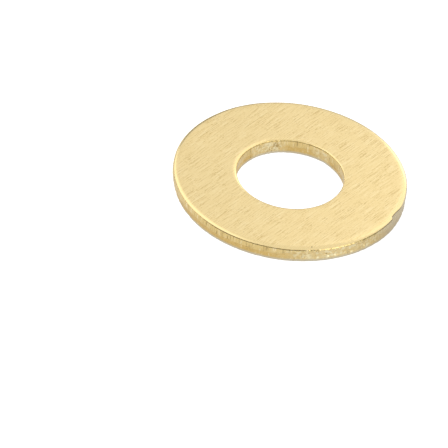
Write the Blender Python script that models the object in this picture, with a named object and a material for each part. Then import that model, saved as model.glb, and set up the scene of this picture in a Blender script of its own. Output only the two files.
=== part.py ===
"""A flat brass washer, punched from sheet in one stroke of a compound die.

Units are metres, +Z is up. The origin is the centre of the bottom face, and +Z runs along the hole.
The top is the face that the die entered: its edges are rolled over. The bottom is the burr side.
"""

import math

import bmesh
import bpy

# Driving dimensions
OUTER_DIAMETER = 14.0e-3
HOLE_DIAMETER = 6.4e-3  # clears an M6 screw
THICKNESS = 1.0e-3

# What punching leaves on the ring: each upper edge rolled over, each wall cut at first and torn below
OUTSIDE, HOLE = -1, 1  # the direction from each wall into the metal
ROLLOVER_WIDTH = {OUTSIDE: 0.34 * THICKNESS, HOLE: 0.22 * THICKNESS}  # how far it runs into the top face
ROLLOVER_DEPTH = {OUTSIDE: 0.18 * THICKNESS, HOLE: 0.12 * THICKNESS}  # how far it runs down the wall
LAND_SHARE = 0.45  # share of the thickness that the punch cut smooth and straight
DIE_CLEARANCE = 0.04 * THICKNESS  # the torn part of each wall leans into the metal by this much
EDGE_BREAK = 0.02e-3  # flat left where the burr was brushed off

ROLLOVER_STEPS = 4
SEGMENTS = 96
SHARP_ANGLE = math.radians(35)

BRASS_COLOUR = (0.87, 0.68, 0.34, 1.0)
BRASS_ROUGHNESS = 0.35


def clear_scene():
    for item in list(bpy.data.objects):
        bpy.data.objects.remove(item, do_unlink=True)


def punched_wall(radius, side):
    """One wall from bottom to top, as (r, z)."""
    torn_radius = radius + side * DIE_CLEARANCE
    land_bottom = THICKNESS * (1 - LAND_SHARE)
    points = [
        (torn_radius + side * EDGE_BREAK, 0.0),
        (torn_radius, EDGE_BREAK),
        (radius, land_bottom),
    ]
    for step in range(ROLLOVER_STEPS + 1):
        turn = 0.5 * math.pi * step / ROLLOVER_STEPS
        r = radius + side * ROLLOVER_WIDTH[side] * (1 - math.cos(turn))
        z = THICKNESS - ROLLOVER_DEPTH[side] * (1 - math.sin(turn))
        points.append((r, z))
    return points


def ring_section():
    """The closed outline of the ring's cross-section: up the outer wall and down the hole."""
    outer_wall = punched_wall(0.5 * OUTER_DIAMETER, OUTSIDE)
    hole_wall = punched_wall(0.5 * HOLE_DIAMETER, HOLE)
    return outer_wall + hole_wall[::-1]


def brass():
    material = bpy.data.materials.new("brass")
    material.use_nodes = True
    shader = material.node_tree.nodes["Principled BSDF"]
    shader.inputs["Base Color"].default_value = BRASS_COLOUR
    shader.inputs["Metallic"].default_value = 1.0
    shader.inputs["Roughness"].default_value = BRASS_ROUGHNESS
    return material


def flat_washer():
    """The section spun once round the hole's axis."""
    bm = bmesh.new()
    corners = [bm.verts.new((r, 0.0, z)) for r, z in ring_section()]
    outline = [bm.edges.new(pair) for pair in zip(corners, corners[1:] + corners[:1])]
    bmesh.ops.spin(
        bm,
        geom=corners + outline,
        cent=(0.0, 0.0, 0.0),
        axis=(0.0, 0.0, 1.0),
        angle=2 * math.pi,
        steps=SEGMENTS,
        use_merge=True,
    )
    bmesh.ops.recalc_face_normals(bm, faces=bm.faces)
    mesh = bpy.data.meshes.new("flat_washer")
    bm.to_mesh(mesh)
    bm.free()
    mesh.shade_smooth()
    mesh.set_sharp_from_angle(angle=SHARP_ANGLE)
    washer = bpy.data.objects.new("flat_washer", mesh)
    washer.data.materials.append(brass())
    bpy.context.scene.collection.objects.link(washer)
    return washer


clear_scene()
flat_washer()
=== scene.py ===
# %% [markdown]
# # A punched brass washer
# The part is one ring of brass sheet. A compound die cuts its outside and its hole in a single
# stroke, and that stroke writes itself on the metal: both edges of the upper face are rolled over,
# each wall is cut smooth at first and torn rough below, and the lower face keeps a ragged rim. The
# sheet was brushed, so both faces carry fine straight strokes. This lesson builds the ring with
# those marks as real shape, and leaves only the finest texture to the materials.
#
# The CAD model gives the size. We load it first and note its box.

# %% Load the imported part
import math

import bmesh
import bpy
from mathutils import Matrix, Vector, noise


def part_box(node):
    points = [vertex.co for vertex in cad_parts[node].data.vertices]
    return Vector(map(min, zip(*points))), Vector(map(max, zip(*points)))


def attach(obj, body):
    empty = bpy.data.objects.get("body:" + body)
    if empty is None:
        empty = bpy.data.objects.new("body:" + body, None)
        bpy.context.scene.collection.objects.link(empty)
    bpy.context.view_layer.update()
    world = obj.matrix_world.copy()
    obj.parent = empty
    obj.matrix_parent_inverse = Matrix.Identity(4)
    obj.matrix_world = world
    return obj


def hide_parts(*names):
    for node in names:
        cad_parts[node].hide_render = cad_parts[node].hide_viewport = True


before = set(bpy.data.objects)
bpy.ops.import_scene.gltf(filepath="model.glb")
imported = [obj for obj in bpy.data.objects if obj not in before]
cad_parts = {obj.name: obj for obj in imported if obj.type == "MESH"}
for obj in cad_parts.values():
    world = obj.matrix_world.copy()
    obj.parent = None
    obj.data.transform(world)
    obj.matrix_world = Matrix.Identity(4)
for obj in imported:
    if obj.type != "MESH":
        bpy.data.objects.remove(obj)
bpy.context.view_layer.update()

# %% [markdown]
# ## The ring's sizes
# Everything else is worked out from three sizes, so we measure them on the CAD ring and never
# type them in. The hole's radius is the distance from the axis to the nearest corner of the mesh.

# %% Measure the CAD ring
MM = 0.001

low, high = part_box("flat_washer")
outer_radius = (high.x - low.x) / 2
thickness = high.z - low.z
cad_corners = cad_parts["flat_washer"].data.vertices
hole_radius = min(math.hypot(corner.co.x, corner.co.y) for corner in cad_corners)
print(f"outside {2 * outer_radius / MM:.2f} mm, hole {2 * hole_radius / MM:.2f} mm, "
      f"thickness {thickness / MM:.2f} mm")

# %% [markdown]
# ## Uneven on purpose
# Real metal never repeats itself exactly. Random numbers for each point would look like sand, so
# we use Perlin noise, which changes smoothly from place to place. Dividing the position by a size
# sets how large the lumps are, and a different layer number gives a different pattern. Sampling
# it at points of a circle gives a value that varies with the angle and closes without a seam.

# %% Smooth noise in space and round a circle
def mottle(x, y, z, size, layer=0):
    """A smooth random value, about -1 to 1, with lumps of the given size in metres."""
    apart = Vector((17.3, 5.1, 9.7)) * layer
    return noise.noise(Vector((x, y, z)) / size + apart)


def around(angle, size, layer=0):
    """The same, for a value that depends only on the angle round the ring."""
    return mottle(outer_radius * math.cos(angle), outer_radius * math.sin(angle), 0, size, layer)


def ease(start, end, value):
    """0 up to start, 1 from end on, and a soft step between them."""
    share = min(max((value - start) / (end - start), 0), 1)
    return share * share * (3 - 2 * share)


print("noise at three angles:", [round(around(angle, 2 * MM), 3) for angle in (0, 2, 4)])

# %% [markdown]
# ## What the die does to an edge
# As the punch meets the sheet, it first drags the surface down into a rounded edge, the rollover.
# Then it shears the metal and leaves a bright, straight band, the land, with fine lines drawn in
# the direction of the stroke. In the end the rest breaks off along a rough tear that leans into
# the metal. A bevel modifier could round the edge, but it would be the same all the way round.
# Here the punch sits a little off the die's centre, so each rollover is wider on one side, and
# each cutting edge has worn spots that leave it ragged, and one chip. The chip in the outer rim is
# a deep bite; the one in the hole is shallow and carries a painted glint, a bright colour that
# stands in for a highlight, so it shows mainly by its colour. All this changes along the edge, so
# the edge is a function of the angle.

# %% The rollover
OUTSIDE, HOLE = -1, 1  # the direction from each wall into the metal
ROLL_WIDTH = {OUTSIDE: 0.40 * thickness, HOLE: 0.22 * thickness}
ROLL_DEPTH = {OUTSIDE: 0.20 * thickness, HOLE: 0.12 * thickness}
# share by which an off-centre punch widens the rollover on one side
PUNCH_OFFSET = {OUTSIDE: 0.30, HOLE: 0.55}
PUNCH_SIDE = math.radians(-10)
WORN_SPOTS = {  # middle and reach in degrees, and how worn the die is there
    OUTSIDE: [(-62, 34, 1.0)],
    HOLE: [(118, 24, 1.0), (57, 14, 0.8)],
}
RAGGED = {OUTSIDE: 0.12, HOLE: 0.08}  # share by which a worn spot makes the rollover's depth vary
WORN_DEEPER = 0.2  # share by which a worn spot deepens the rollover
CHIP_START = {OUTSIDE: math.radians(-25), HOLE: math.radians(113)}
CHIP_REACH = {OUTSIDE: math.radians(11), HOLE: math.radians(13)}
CHIP_BITE = {OUTSIDE: 0.08, HOLE: 0.30}  # share of its reach in which it deepens
CHIP_FLAT = {OUTSIDE: 0.3, HOLE: 0.45}  # share of the chip after which it runs out
CHIP_DEPTH = {OUTSIDE: 0.13 * thickness, HOLE: 0.05 * thickness}
CHIP_GLINT = {OUTSIDE: 0.0, HOLE: 1.0}  # how strongly each chip carries the painted glint
CHIP_FOOT = {OUTSIDE: 0.50 * thickness, HOLE: 0.50 * thickness}  # height at which each begins
CHIP_HEAD = {OUTSIDE: 0.80 * thickness, HOLE: 0.80 * thickness}  # height of its full depth


def wear(angle, side):
    """1 in the middle of a spot where this edge of the die is badly worn, 0 away from it."""
    most = 0
    for middle, reach, amount in WORN_SPOTS[side]:
        near = math.cos(angle - math.radians(middle))
        most = max(most, amount * ease(math.cos(math.radians(reach)), 1, near))
    return most


def rolled_edge(angle, side):
    """Width and depth of the rounded edge."""
    lopsided = -side * PUNCH_OFFSET[side] * math.cos(angle - PUNCH_SIDE)
    uneven = 0.15 * around(angle, 5 * MM, 3 + side) + 0.06 * around(angle, 1.2 * MM, 7 + side)
    ragged = around(angle, 0.5 * MM, 43) + around(angle, 0.2 * MM, 47)
    ragged *= RAGGED[side] * wear(angle, side)
    width = ROLL_WIDTH[side] * (1 + lopsided + uneven + 0.25 * ragged)
    depth = ROLL_DEPTH[side] * (1 + uneven + ragged + WORN_DEEPER * wear(angle, side))
    return width, depth


def chip(angle, height, side):
    """Depth of the chip in each rim: steep where it begins, then running out."""
    past = math.remainder(angle - CHIP_START[side], 2 * math.pi) / CHIP_REACH[side]
    slope = (height - CHIP_FOOT[side]) / (CHIP_HEAD[side] - CHIP_FOOT[side])
    along = ease(-CHIP_BITE[side], CHIP_BITE[side], past) * (1 - ease(CHIP_FLAT[side], 1, past))
    return CHIP_DEPTH[side] * along * min(max(slope, 0), 1)


for name, side in (("outside", OUTSIDE), ("hole", HOLE)):
    widths = [rolled_edge(math.radians(turn), side)[0] / MM for turn in range(360)]
    print(f"rollover {name}: {min(widths):.2f} to {max(widths):.2f} mm wide")

# %% [markdown]
# ## Where the cut turns into a tear
# The clean cut ends at a line that wanders along the wall. Below it the metal broke off, and the
# tear leans into the metal, more on one side of the ring because the punch leaned a little. The
# same line is used for the shape and for the finish, so it is a function of its own.

# %% The tear line
TEAR_HEIGHT = 0.50 * thickness
TEAR_LEAN = 0.060 * thickness
LEAN_EVEN = {OUTSIDE: 1.0, HOLE: 0.65}  # how much of it a tear has all the way round
LEAN_SIDE = math.radians(-20)  # the punch leaned a little, so both tears lean to this side


def tear_line(angle, side):
    """The height at which the clean cut ends and the tear begins."""
    uneven = 0.22 * around(angle, 2.4 * MM, 11 + side) + 0.12 * around(angle, 0.35 * MM, 15 + side)
    return TEAR_HEIGHT * (1 + uneven + 0.3 * wear(angle, side))


def tear_share(angle, height, side):
    """0 on the clean cut, 1 in the tear."""
    line = tear_line(angle, side)
    return 1 - ease(line - 0.03 * thickness, line + 0.03 * thickness, height)


print("tear line at the front:", round(tear_line(-math.pi / 2, OUTSIDE) / MM, 3), "mm up")

# %% [markdown]
# ## The wall's fine relief
# The drawn lines run along the stroke, so their noise is stretched along the height. They come in
# groups, because a worn spot on the die's edge draws a bunch of lines and the rest stays clean.
# The tear is grainy: two sizes of noise. Where the die was worn it also scuffed the wall in coarse
# patches, between the rollover and the foot. At the very bottom the edge is broken by a small
# round, and a nick here and there is where the burr came away.

# %% How far the wall lies inside its true circle
DRAWN_DEPTH = 0.005 * MM
GRAIN_DEPTH = 0.012 * MM
SCUFF_DEPTH = {OUTSIDE: 0.075 * MM, HOLE: 0.02 * MM}
NICK_DEPTH = 0.03 * MM
EDGE_BREAK = 0.012 * MM
STROKE_STRETCH = 0.12  # the height counts this much less than the way round
SCUFF_FOOT = (0.10 * thickness, 0.40 * thickness)  # heights between which the scuffs set in
SCUFF_HEAD = (0.62 * thickness, 0.78 * thickness)  # heights between which they fade out


def wall_inset(angle, height, side):
    """Depth of the wall's surface below its nominal cylinder at one point."""
    radius = outer_radius if side == OUTSIDE else hole_radius
    x = radius * math.cos(angle)
    y = radius * math.sin(angle)
    torn = tear_share(angle, height, side)
    worn = wear(angle, side)
    groups = ease(-0.25, 0.45, around(angle, 2.2 * MM, 19 + side)) + 2 * worn
    lines = mottle(x, y, height * STROKE_STRETCH, 0.13 * MM, 23)
    drawn = DRAWN_DEPTH * (0.35 + groups) * (1 + lines)
    lean = TEAR_LEAN * (LEAN_EVEN[side] + side * math.cos(angle - LEAN_SIDE))
    leaned = lean * max(0, 1 - height / tear_line(angle, side))
    grain = mottle(x, y, height * 0.6, 0.20 * MM, 27) + 0.5 * mottle(x, y, height, 0.10 * MM, 31)
    low_rim = 1 - ease(0.02 * MM, 0.20 * MM, height)
    nick = ease(0.25, 0.6, mottle(x, y, 0, 0.5 * MM, 35)) * low_rim
    broken = EDGE_BREAK * (1 - math.sqrt(1 - max(0, 1 - height / EDGE_BREAK) ** 2))
    scuffed = ease(0.2, 0.7, worn) * ease(*SCUFF_FOOT, height) * (1 - ease(*SCUFF_HEAD, height))
    scuff = SCUFF_DEPTH[side] * scuffed * max(0, 0.4 + mottle(x, y, height, 0.20 * MM, 51))
    torn_depth = torn * (leaned + GRAIN_DEPTH * (1 + 0.6 * worn) * (0.9 + grain))
    return drawn + torn_depth + scuff + nick * NICK_DEPTH + broken + chip(angle, height, side)


print("wall relief half way down:", round(wall_inset(0, thickness / 2, OUTSIDE) / MM, 4), "mm")

# %% [markdown]
# ## One section, many stations
# The skin is a closed outline in the plane of radius and height, carried round the axis. We walk
# along the outline from zone to zone and give each zone as many stations as its detail needs: few
# on the flat faces, many on the walls. Every station is a zone and a share of the way through it.

# %% Walk along the section
STATIONS = {
    ("hole_wall", HOLE): 21,
    ("hole_rollover", HOLE): 9,
    ("top", None): 13,
    ("outer_rollover", OUTSIDE): 10,
    ("outer_wall", OUTSIDE): 22,
    ("under", None): 11,
}
FACE_WAVE = 0.003 * MM  # how far the faces are from flat


def flat_limits(angle):
    """Radii between which the top face is flat."""
    return hole_radius + rolled_edge(angle, HOLE)[0], outer_radius - rolled_edge(angle, OUTSIDE)[0]


def rollover_point(angle, share, side):
    """From the wall (share 0) to the face (share 1), along a quarter of an ellipse."""
    width, depth = rolled_edge(angle, side)
    turn = share * math.pi / 2
    wall_radius = outer_radius if side == OUTSIDE else hole_radius
    inset = wall_inset(angle, thickness - depth, side) * (1 - share)
    radius = wall_radius + side * (inset + width * (1 - math.cos(turn)))
    return radius, thickness - depth * (1 - math.sin(turn))


def wall_point(angle, share, side):
    """From the bottom rim (share 0) to the rollover (share 1)."""
    height = share * (thickness - rolled_edge(angle, side)[1])
    wall_radius = outer_radius if side == OUTSIDE else hole_radius
    return wall_radius + side * wall_inset(angle, height, side), height


def face_point(angle, share, zone):
    """Across a face, from the hole (share 0) to the outside (share 1)."""
    if zone == "top":
        inner, outer = flat_limits(angle)
    else:
        inner = wall_point(angle, 0, HOLE)[0]
        outer = wall_point(angle, 0, OUTSIDE)[0]
    radius = inner + share * (outer - inner)
    rise = 4 * share * (1 - share)
    lumps = mottle(radius * math.cos(angle), radius * math.sin(angle), 0, 2.5 * MM, 39)
    wave = FACE_WAVE * rise * (1 + lumps)
    return radius, thickness - wave if zone == "top" else wave


print("stations along the section:", sum(STATIONS.values()))

# %% [markdown]
# ## Carry the section round
# Blender's Spin operator could turn one fixed outline round the axis, but ours changes with the
# angle. So we place the points ourselves in bmesh, station by station, and join neighbours with
# four-cornered faces. Four numbers are kept on each point for the materials: how much of a
# rollover it is, how much of a tear, how worn the die was there, which the wall also uses for a
# painted sheen, and how strong the painted glint is there.

# %% Build the ring
COLUMNS = 1080
CROWD_FOOT = 1.3  # above 1, this power crowds the wall's stations near the bottom, where the detail is
ROLLOVER_TOP_SHARE = 0.35  # share of a rollover past which it wears the top face's finish


def section_stations():
    """Each station as (zone, side, share). Those on a wall lie closer together near the bottom."""
    found = []
    for (zone, side), count in STATIONS.items():
        for step in range(count):
            share = step / count
            if zone in ("outer_rollover", "outer_wall", "under"):
                share = 1 - share
            if zone.endswith("wall"):
                share = share ** CROWD_FOOT
            found.append((zone, side, share))
    return found


def skin_point(zone, side, share, angle):
    if zone.endswith("rollover"):
        radius, height = rollover_point(angle, share, side)
    elif zone.endswith("wall"):
        radius, height = wall_point(angle, share, side)
    else:
        radius, height = face_point(angle, share, zone)
    return Vector((radius * math.cos(angle), radius * math.sin(angle), height))


def build_ring():
    stations = section_stations()
    bm = bmesh.new()
    rolled = bm.verts.layers.float.new("rolled")
    torn = bm.verts.layers.float.new("torn")
    worn = bm.verts.layers.float.new("worn")
    painted_glint = bm.verts.layers.float.new("painted_glint")
    columns = []
    for column in range(COLUMNS):
        angle = 2 * math.pi * column / COLUMNS
        points = []
        for zone, side, share in stations:
            point = bm.verts.new(skin_point(zone, side, share, angle))
            if zone.endswith("rollover"):
                point[rolled] = 1 - share
            if zone.endswith("wall"):
                point[rolled] = ease(0.8, 1, share)
                point[torn] = tear_share(angle, point.co.z, side)
                point[worn] = wear(angle, side)
                # strength of the painted glint on the hole's chip
                point[painted_glint] = CHIP_GLINT[side] * chip(angle, point.co.z, side) / CHIP_DEPTH[side]
            points.append(point)
        columns.append(points)
    zone_slots = {"top": 0, "under": 1}
    for column, points in enumerate(columns):
        beside = columns[(column + 1) % COLUMNS]
        for row, (zone, side, share) in enumerate(stations):
            after = (row + 1) % len(stations)
            face = bm.faces.new((points[row], points[after], beside[after], beside[row]))
            on_top = zone.endswith("rollover") and share > ROLLOVER_TOP_SHARE
            face.material_index = 0 if on_top else zone_slots.get(zone, 2)
            face.smooth = True
    bmesh.ops.recalc_face_normals(bm, faces=bm.faces)
    mesh = bpy.data.meshes.new("punched_washer")
    bm.to_mesh(mesh)
    bm.free()
    ring = bpy.data.objects.new("punched_washer", mesh)
    bpy.context.scene.collection.objects.link(ring)
    return ring


ring = build_ring()
print("faces in the ring:", len(ring.data.polygons))

# %% [markdown]
# ## Small helpers for node trees
# A material is a graph. These two helpers keep the graph readable: one adds a node and plugs in
# its inputs in the same line, the other opens a node group with named sockets. A value that is an
# output of another node becomes a link, and anything else is typed into the socket.

# %% Add and connect nodes
def plug(tree, socket, value):
    if isinstance(value, bpy.types.NodeSocket):
        tree.links.new(value, socket)
    else:
        socket.default_value = value


def add_node(tree, kind, inputs=None, **settings):
    node = tree.nodes.new(kind)
    for name, value in settings.items():
        setattr(node, name, value)
    for name, value in (inputs or {}).items():
        plug(tree, node.inputs[name], value)
    return node


def calculate(tree, operation, a, b=0.0, clamp=False):
    node = add_node(tree, "ShaderNodeMath", {0: a, 1: b}, operation=operation, use_clamp=clamp)
    return node.outputs[0]


def remap(tree, value, low, high, to_low=0.0, to_high=1.0, smooth=True):
    """Stretches low..high to to_low..to_high, with soft ends."""
    node = add_node(
        tree,
        "ShaderNodeMapRange",
        {"Value": value, "From Min": low, "From Max": high, "To Min": to_low, "To Max": to_high},
        interpolation_type="SMOOTHSTEP" if smooth else "LINEAR",
    )
    return node.outputs["Result"]


def open_group(name, inputs, outputs):
    """A node group with its sockets. inputs and outputs are {name: kind}."""
    group = bpy.data.node_groups.new(name, "ShaderNodeTree")
    for way, sockets in (("INPUT", inputs), ("OUTPUT", outputs)):
        for label, kind in sockets.items():
            group.interface.new_socket(label, in_out=way, socket_type="NodeSocket" + kind)
    given = group.nodes.new("NodeGroupInput").outputs
    made = group.nodes.new("NodeGroupOutput").inputs
    return group, given, made


def place_group(tree, group, inputs):
    return add_node(tree, "ShaderNodeGroup", inputs, node_tree=group).outputs


# %% [markdown]
# ## Brush strokes
# An abrasive belt runs straight over the sheet before it is punched. Each grain scratches a short
# line, some deeper than others, and the strokes lie thick in one place and thin in the next. A Wave
# texture would give an even ribbed pattern, so we stretch noise along the belt's direction
# instead. One layer holds the hairlines, a wider one bundles them, a nearly round one breaks them
# up into grain, and the last adds short, deeper scratches. A large soft noise decides where the
# strokes lie thick.

# %% The brush stroke group
def brush_stroke_group():
    group, given, made = open_group(
        "Brush strokes",
        {"Direction": "Float", "Width": "Float", "Length": "Float"},
        {"Scratches": "Float", "Ridges": "Float", "Height": "Float"},
    )
    position = add_node(group, "ShaderNodeTexCoord").outputs["Object"]
    turned = add_node(
        group, "ShaderNodeVectorRotate", {"Vector": position, "Angle": given["Direction"]},
        rotation_type="Z_AXIS",
    ).outputs["Vector"]
    parts = add_node(group, "ShaderNodeSeparateXYZ", {"Vector": turned}).outputs
    along = calculate(group, "DIVIDE", parts["X"], given["Length"])
    across = calculate(group, "DIVIDE", parts["Y"], given["Width"])

    def stroke_layer(longer, wider, detail):
        point = add_node(group, "ShaderNodeCombineXYZ", {
            "X": calculate(group, "DIVIDE", along, longer),
            "Y": calculate(group, "DIVIDE", across, wider),
        }).outputs[0]
        return add_node(
            group, "ShaderNodeTexNoise",
            {"Vector": point, "Scale": 1.0, "Detail": detail, "Roughness": 0.6},
            noise_dimensions="2D",
        ).outputs[0]

    hairs = stroke_layer(1.0, 1.0, 1.0)
    bundles = stroke_layer(1.6, 2.6, 1.0)
    grain = stroke_layer(0.12, 1.0, 0.0)
    short = stroke_layer(0.3, 1.2, 0.0)
    places = add_node(
        group, "ShaderNodeTexNoise", {"Vector": turned, "Scale": 1 / (1.1 * MM), "Detail": 1.0},
        noise_dimensions="2D",
    ).outputs[0]
    shown = remap(group, places, 0.38, 0.62, 0.60, 1.0)
    deep = calculate(group, "MULTIPLY", remap(group, short, 0.62, 0.85, 0.0, 0.6),
                     remap(group, places, 0.50, 0.60))
    fine = calculate(group, "ADD", calculate(group, "MULTIPLY", hairs, 0.60),
                     calculate(group, "MULTIPLY", grain, 0.25))
    mixed = calculate(group, "ADD", fine, calculate(group, "MULTIPLY", bundles, 0.15))
    hollows = calculate(group, "MULTIPLY", remap(group, mixed, 0.50, 0.70), shown)
    dark = calculate(group, "ADD", hollows, deep)
    bright = calculate(group, "MULTIPLY", remap(group, mixed, 0.50, 0.30), shown)
    plug(group, made["Scratches"], dark)
    plug(group, made["Ridges"], bright)
    plug(group, made["Height"], calculate(group, "SUBTRACT", bright, dark))
    return group


brush_strokes = brush_stroke_group()
print("group:", brush_strokes.name, [item.name for item in brush_strokes.interface.items_tree])

# %% [markdown]
# ## Pits and specks
# Between the strokes sit tiny pits, where a grain broke out of the sheet or grit was pressed in.
# A Voronoi texture scatters one point in each cell of a loose grid. We draw a dot around each
# point, and use the cell's own random colour to keep only a few of them and to vary their size.

# %% The pit group
def pit_group():
    group, given, made = open_group(
        "Pits", {"Spacing": "Float", "Size": "Float", "Share kept": "Float"}, {"Pits": "Float"}
    )
    position = add_node(group, "ShaderNodeTexCoord").outputs["Object"]
    often = calculate(group, "DIVIDE", 1.0, given["Spacing"])
    cells = add_node(group, "ShaderNodeTexVoronoi", {"Vector": position, "Scale": often})
    chance = add_node(group, "ShaderNodeSeparateColor", {"Color": cells.outputs["Color"]}).outputs
    kept = calculate(group, "LESS_THAN", chance["Red"], given["Share kept"])
    reach = calculate(group, "MULTIPLY", calculate(group, "DIVIDE", given["Size"], given["Spacing"]),
                      calculate(group, "ADD", chance["Green"], 0.4))
    near = calculate(group, "DIVIDE", cells.outputs["Distance"], reach)
    dot = remap(group, near, 1.0, 0.35)
    plug(group, made["Pits"], calculate(group, "MULTIPLY", dot, kept))
    return group


pits = pit_group()
print("group:", pits.name, [item.name for item in pits.interface.items_tree])

# %% [markdown]
# ## Brushed brass
# The two faces share one recipe with other values. The strokes carry painted shade and painted
# highlight: the scratches are painted a little darker and the ridges between them a little lighter.
# They also tilt the surface through a Bump node, so that they glint when the light moves. The
# strokes and their painted shade fade where the edge rolls over, because the belt passed before the
# punch bent the metal and the die then polished it.

# %% The brushed faces
BRASS = (0.88, 0.695, 0.35, 1.0)
# painted highlight: lighter colour on the strokes' ridges and on the wall's lighter grain
PAINTED_HIGHLIGHT_BRASS = (0.95, 0.79, 0.46, 1.0)
# painted shade: darker colour in the scratches
SCRATCH_SHADE_BRASS = (0.66, 0.48, 0.20, 1.0)
# painted shade: darker colour in each pit
PIT_SHADE_BRASS = (0.42, 0.31, 0.15, 1.0)
ROLLED_ROUGHNESS = 0.20
STROKE_WIDTH = 0.058 * MM
STROKE_LENGTH = 1.3 * MM


def start_material(name):
    material = bpy.data.materials.new(name)
    material.use_nodes = True
    tree = material.node_tree
    shader = tree.nodes["Principled BSDF"]
    shader.inputs["Metallic"].default_value = 1.0
    return material, tree, shader


def blend_colour(tree, factor, a, b):
    node = add_node(tree, "ShaderNodeMix", data_type="RGBA")
    plug(tree, node.inputs[0], factor)
    plug(tree, node.inputs[6], a)
    plug(tree, node.inputs[7], b)
    return node.outputs[2]


def brushed_brass(name, direction, painted_stroke_shading):
    material, tree, shader = start_material(name)
    strokes = place_group(tree, brush_strokes, {
        "Direction": math.radians(-direction), "Width": STROKE_WIDTH, "Length": STROKE_LENGTH,
    })
    specks = place_group(tree, pits, {"Spacing": 0.8 * MM, "Size": 0.05 * MM, "Share kept": 0.4})
    position = add_node(tree, "ShaderNodeTexCoord").outputs["Object"]
    drift = add_node(
        tree, "ShaderNodeTexNoise", {"Vector": position, "Scale": 1 / (3.5 * MM), "Detail": 2.0}
    ).outputs[0]
    rolled = add_node(tree, "ShaderNodeAttribute", attribute_name="rolled").outputs["Fac"]
    kept = remap(tree, rolled, 0.0, 0.6, 1.0, 0.0)
    scratches = calculate(tree, "MULTIPLY", strokes["Scratches"], kept)
    ridges = calculate(tree, "MULTIPLY", strokes["Ridges"], kept)
    dark = calculate(tree, "MULTIPLY", scratches, painted_stroke_shading)
    light = calculate(tree, "MULTIPLY", ridges, painted_stroke_shading)
    # painted shade in the scratches and painted highlight on the ridges
    tone = blend_colour(tree, light, blend_colour(tree, dark, BRASS, SCRATCH_SHADE_BRASS), PAINTED_HIGHLIGHT_BRASS)
    # painted shade in the pits
    plug(tree, shader.inputs["Base Color"], blend_colour(tree, specks["Pits"], tone, PIT_SHADE_BRASS))
    matte = remap(tree, drift, 0.3, 0.7, 0.32, 0.40)
    polished = remap(tree, rolled, 0.0, 0.5)
    roughness = add_node(tree, "ShaderNodeMix", {0: polished, 2: matte, 3: ROLLED_ROUGHNESS})
    plug(tree, shader.inputs["Roughness"], roughness.outputs[0])
    stroke_height = calculate(tree, "MULTIPLY", strokes["Height"], kept)
    relief = calculate(tree, "SUBTRACT", stroke_height, specks["Pits"])
    bump = add_node(tree, "ShaderNodeBump", {"Strength": 1.0, "Distance": 0.0015 * MM, "Height": relief})
    plug(tree, shader.inputs["Normal"], bump.outputs["Normal"])
    return material


brushed_top = brushed_brass("brushed_top", direction=55, painted_stroke_shading=0.85)
brushed_under = brushed_brass("brushed_under", direction=-12, painted_stroke_shading=1.0)
print("materials:", brushed_top.name, brushed_under.name)

# %% [markdown]
# ## The punched wall
# The wall's shape is already in the mesh, so its material only adds what is too fine for it. The
# clean cut is smooth with thin drawn lines, the tear is duller and a touch darker, and the rollover
# is smooth. Painted shade darkens streaks along the drawn lines and the grain, and painted highlight
# lightens others. Where the die was worn, the wall is painted lighter with bright flecks, a painted
# sheen and painted glints, and the hole's chip carries a painted glint. Painted shade greys the foot
# of the wall and one side of it. The numbers that we kept on each point tell these places apart.

# %% The wall's material
WALL_BRASS = (0.83, 0.63, 0.27, 1.0)
TORN_BRASS = (0.80, 0.57, 0.21, 1.0)
# painted shade: darker streaks along the drawn lines and the grain
WALL_SHADE_BRASS = (0.52, 0.37, 0.15, 1.0)
# painted highlight: colour of the painted glints
GLINT_BRASS = (0.97, 0.85, 0.53, 1.0)
# painted shade: greyer colour at the foot of the wall and on its +X side
SHADE_GREY_BRASS = (0.72, 0.66, 0.52, 1.0)
SHADE_HEIGHTS = (0.22 * MM, 0.08 * MM)  # where the painted shade sets in on the way down, and where it is full
FOOT_SHADE = 0.9
SHADE_PLACES = (0.72 * outer_radius, 0.92 * outer_radius)  # the same on the way to the side with painted shade, +X
SIDE_SHADE = 0.6


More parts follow.
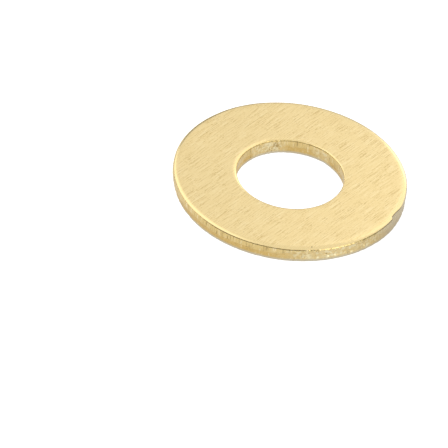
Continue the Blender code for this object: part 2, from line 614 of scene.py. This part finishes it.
def punched_brass():
    material, tree, shader = start_material("punched_wall")
    position = add_node(tree, "ShaderNodeTexCoord").outputs["Object"]
    torn = add_node(tree, "ShaderNodeAttribute", attribute_name="torn").outputs["Fac"]
    rolled = add_node(tree, "ShaderNodeAttribute", attribute_name="rolled").outputs["Fac"]
    stretched = add_node(
        tree, "ShaderNodeVectorMath", {0: position, 1: (1.0, 1.0, 0.15)}, operation="MULTIPLY"
    ).outputs[0]

    def relief_noise(vector, size, detail):
        return add_node(
            tree, "ShaderNodeTexNoise",
            {"Vector": vector, "Scale": 1 / size, "Detail": detail, "Roughness": 0.6},
        ).outputs[0]

    drawn = relief_noise(stretched, 0.13 * MM, 2.0)
    grain = relief_noise(position, 0.12 * MM, 2.0)
    patches = relief_noise(position, 1.1 * MM, 1.0)
    grainy = calculate(tree, "MULTIPLY", torn, 0.6)
    both = add_node(tree, "ShaderNodeMix", {0: grainy, 2: drawn, 3: grain}).outputs[0]
    uneven = calculate(tree, "ADD", calculate(tree, "MULTIPLY", both, 0.75),
                       calculate(tree, "MULTIPLY", patches, 0.25))
    dark = remap(tree, uneven, 0.52, 0.68)
    light = remap(tree, uneven, 0.48, 0.34)
    worn = add_node(tree, "ShaderNodeAttribute", attribute_name="worn").outputs["Fac"]
    # worn places take the lighter BRASS as a painted sheen
    ground = blend_colour(tree, worn, blend_colour(tree, torn, WALL_BRASS, TORN_BRASS), BRASS)
    # painted shade in the darker streaks and painted highlight in the lighter ones
    tone = blend_colour(tree, light, blend_colour(tree, dark, ground, WALL_SHADE_BRASS), PAINTED_HIGHLIGHT_BRASS)
    scattered = remap(tree, relief_noise(position, 0.20 * MM, 1.0), 0.50, 0.60)
    # painted glints scattered where the die was worn
    painted_glint_flecks = calculate(tree, "MULTIPLY", worn, scattered)
    painted_glint = add_node(tree, "ShaderNodeAttribute", attribute_name="painted_glint").outputs["Fac"]
    tone = blend_colour(tree, calculate(tree, "MAXIMUM", painted_glint_flecks, painted_glint), tone, GLINT_BRASS)
    place = add_node(tree, "ShaderNodeSeparateXYZ", {"Vector": position}).outputs
    # painted shade, greyer towards the foot and towards the +X side
    shaded_foot = remap(tree, place["Z"], *SHADE_HEIGHTS, 0.0, FOOT_SHADE)
    shaded_side = remap(tree, place["X"], *SHADE_PLACES, 0.0, SIDE_SHADE)
    painted_shade = calculate(tree, "MAXIMUM", shaded_foot, shaded_side)
    plug(tree, shader.inputs["Base Color"], blend_colour(tree, painted_shade, tone, SHADE_GREY_BRASS))
    plug(tree, shader.inputs["Roughness"], remap(tree, torn, 0.0, 1.0, 0.26, 0.38))
    kept = calculate(tree, "SUBTRACT", 1.0, rolled, clamp=True)
    bump = add_node(tree, "ShaderNodeBump", {
        "Strength": 1.0, "Distance": 0.012 * MM, "Height": calculate(tree, "MULTIPLY", both, kept),
    })
    plug(tree, shader.inputs["Normal"], bump.outputs["Normal"])
    return material


punched_wall = punched_brass()
for material in (brushed_top, brushed_under, punched_wall):
    ring.data.materials.append(material)
print("slots on the ring:", [slot.name for slot in ring.material_slots])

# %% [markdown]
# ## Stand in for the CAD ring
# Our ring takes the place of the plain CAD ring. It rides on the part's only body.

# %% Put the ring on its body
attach(ring, "root")
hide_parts("flat_washer")

# %% [markdown]
# ## The floor
# A washer is shown on thin white card over a light table, so bright that it has no edge. The card
# glows a little and also catches the light from above. The walls mirror it, so without the glow
# the wall of the hole, which sees only the card in its own shade, would look dull. The glow fades
# towards the ring's right side, a painted shade in the card that the walls mirror as a deeper
# shadow on that side.

# %% White card
TABLE_GLOW = 0.40
# the card's glow on the right side, lowered as painted shade
DIM_GLOW = 0.24
DIM_SIDE = math.radians(10)
DIM_PLACES = (0.3 * outer_radius, 0.95 * outer_radius)  # where the glow begins and ends to fade
EXTRA_GLOW = 0.50  # for the camera only, so that the card shows no edge


def white_card():
    material = bpy.data.materials.new("white_card")
    material.use_nodes = True
    tree = material.node_tree
    tree.nodes.remove(tree.nodes["Principled BSDF"])
    matte = add_node(tree, "ShaderNodeBsdfDiffuse", {"Color": (0.50, 0.50, 0.50, 1.0)}).outputs[0]
    seen = add_node(tree, "ShaderNodeLightPath").outputs["Is Camera Ray"]
    place = add_node(tree, "ShaderNodeVectorRotate", {
        "Vector": add_node(tree, "ShaderNodeTexCoord").outputs["Object"], "Angle": -DIM_SIDE,
    }, rotation_type="Z_AXIS").outputs["Vector"]
    to_dim_side = add_node(tree, "ShaderNodeSeparateXYZ", {"Vector": place}).outputs["X"]
    glow_with_painted_shade = remap(tree, to_dim_side, *DIM_PLACES, TABLE_GLOW, DIM_GLOW)
    glow = calculate(tree, "ADD", calculate(tree, "MULTIPLY", seen, EXTRA_GLOW), glow_with_painted_shade)
    lift = add_node(tree, "ShaderNodeEmission", {"Strength": glow}).outputs[0]
    both = add_node(tree, "ShaderNodeAddShader", {0: matte, 1: lift}).outputs[0]
    plug(tree, tree.nodes["Material Output"].inputs["Surface"], both)
    return material


CARD_HALF_WIDTH = 3.0


def floor_card():
    bm = bmesh.new()
    bmesh.ops.create_grid(bm, x_segments=1, y_segments=1, size=CARD_HALF_WIDTH)
    mesh = bpy.data.meshes.new("card")
    bm.to_mesh(mesh)
    bm.free()
    card = bpy.data.objects.new("card", mesh)
    card.data.materials.append(white_card())
    bpy.context.scene.collection.objects.link(card)
    return card


floor_card()
print("card glow from", TABLE_GLOW, "down to", DIM_GLOW)

# %% [markdown]
# ## The light
# Metal shows what is around it, so the light is designed as something to look at: a white tent
# that is bright at the back and over the part and dimmer near the camera, where a photographer
# stands. The dim side draws a thin dark line under the front edge, which shows the edge's shape.
# Two dark corners low in the tent, at the back left and on the right, and a dark skirting do the
# same for the other edges. A low bright window at the back right puts a pale band on the rounded
# edges that face it. Directions are unit vectors, so each border is a range of X, Y or Z between
# -1 and 1.

# %% A white tent
TENT_STRENGTH = 0.95
RIGHT_WING = 0.05  # extra light from each side
LEFT_WING = 0.45
WINDOW = 0.9  # extra light from the low window
SHADE_STRENGTH = 0.16  # of the dark parts


def light_tent():
    world = bpy.data.worlds.new("tent")
    bpy.context.scene.world = world
    world.use_nodes = True
    tree = world.node_tree
    direction = add_node(tree, "ShaderNodeTexCoord").outputs["Generated"]
    parts = add_node(tree, "ShaderNodeSeparateXYZ", {"Vector": direction}).outputs
    left = calculate(tree, "MULTIPLY", parts["X"], -1.0)
    front = calculate(tree, "MULTIPLY", parts["Y"], -1.0)
    wings = calculate(tree, "ADD", remap(tree, parts["X"], 0.20, 0.65, 0.0, RIGHT_WING),
                      remap(tree, left, 0.15, 0.55, 0.0, LEFT_WING))
    low_at_back = calculate(tree, "MULTIPLY", remap(tree, front, -0.75, -0.88),
                            remap(tree, parts["Z"], 0.44, 0.30))
    low_window = calculate(tree, "MULTIPLY", remap(tree, parts["X"], 0.15, 0.32, 0.0, WINDOW),
                           low_at_back)
    walls = calculate(tree, "ADD", calculate(tree, "ADD", wings, TENT_STRENGTH), low_window)
    opening = calculate(tree, "MULTIPLY", remap(tree, front, 0.0, 0.5),
                        remap(tree, parts["Z"], 0.72, 0.45))
    back_corner = calculate(tree, "MULTIPLY", remap(tree, parts["X"], 0.05, -0.15),
                            calculate(tree, "MULTIPLY", remap(tree, left, 0.50, 0.35),
                                      remap(tree, parts["Z"], 0.45, 0.25)))
    skirting = calculate(tree, "MULTIPLY", remap(tree, parts["Z"], 0.16, 0.06),
                         calculate(tree, "MAXIMUM", remap(tree, parts["X"], 0.35, 0.12),
                                   remap(tree, front, -0.62, -0.45)))
    right_corner = calculate(tree, "MULTIPLY", remap(tree, parts["X"], 0.45, 0.65),
                             calculate(tree, "MULTIPLY", remap(tree, front, -0.62, -0.50),
                                       remap(tree, parts["Z"], 0.48, 0.34)))
    corners = calculate(tree, "MAXIMUM", back_corner, right_corner)
    dark = calculate(tree, "MAXIMUM", opening, calculate(tree, "MAXIMUM", corners, skirting))
    strength = add_node(tree, "ShaderNodeMix", {0: dark, 2: walls, 3: SHADE_STRENGTH}).outputs[0]
    background = tree.nodes["Background"]
    background.inputs["Color"].default_value = (1.0, 1.0, 1.0, 1.0)
    plug(tree, background.inputs["Strength"], strength)


light_tent()
print("tent strength", TENT_STRENGTH, "in the open and", SHADE_STRENGTH, "in the dark parts")

# %% [markdown]
# ## Two softboxes
# The tent alone is too even, so two square lamps add direction. One stands low on the right and
# lights up the cut wall, the other is a small one behind and above the ring, and makes the right
# half of the brushed face a little brighter than the left. An area light shines along its own -Z,
# so we turn its Z axis away from the ring.

# %% Lamps to the right and behind
def softbox(name, direction, distance, size, power):
    """A square area light that faces the ring."""
    light = bpy.data.lights.new(name, "AREA")
    light.shape = "SQUARE"
    light.size = size
    light.energy = power
    lamp = bpy.data.objects.new(name, light)
    towards = Vector(direction).normalized()
    lamp.location = towards * distance
    lamp.rotation_euler = towards.to_track_quat("Z", "Y").to_euler()
    lamp.visible_camera = False
    bpy.context.scene.collection.objects.link(lamp)
    return lamp


softboxes = (
    softbox("softbox_right", direction=(0.72, -0.62, 0.30), distance=0.25, size=0.15, power=0.12),
    softbox("softbox_key", direction=(0.50, 0.60, 0.62), distance=0.06, size=0.055, power=0.0029),
)
for lamp in softboxes:
    print(lamp.name, "at", [round(value, 3) for value in lamp.location])

# %% [markdown]
# ## The camera
# A product photographer stands well back with a long lens, so that the ring keeps its shape. The
# camera looks down at the ring, and a slight roll makes the ring lean to the right.

# %% A long lens from the front
CAMERA_RISE = math.radians(39.06)
CAMERA_ROLL = math.radians(6.9)
CAMERA_DISTANCE = 45.94 * outer_radius
LENS_MM = 434.3
RING_RIGHT_OF_MIDDLE = 0.5574 * outer_radius
RING_ABOVE_MIDDLE = 0.373 * outer_radius


def place_camera():
    tilt = Matrix.Rotation(math.pi / 2 - CAMERA_RISE, 3, "X")
    turn = tilt @ Matrix.Rotation(CAMERA_ROLL, 3, "Z")
    right, up, back = turn.col
    middle = Vector((0, 0, thickness / 2))
    data = bpy.data.cameras.new("camera")
    data.lens = LENS_MM
    data.sensor_width = 36.0
    data.clip_start = 0.01
    camera = bpy.data.objects.new("camera", data)
    bpy.context.scene.collection.objects.link(camera)
    camera.rotation_euler = turn.to_euler()
    away = middle + back * CAMERA_DISTANCE
    camera.location = away - right * RING_RIGHT_OF_MIDDLE - up * RING_ABOVE_MIDDLE
    bpy.context.scene.camera = camera
    return camera


camera = place_camera()
print("camera at", [round(value, 4) for value in camera.location])

# %% [markdown]
# ## True colours
# Blender's default view bends bright colours towards white, as film does. A metal sample should
# keep its colour, so we use the Standard view.

# %% Colour view
bpy.context.scene.view_settings.view_transform = "Standard"
print("view transform:", bpy.context.scene.view_settings.view_transform)
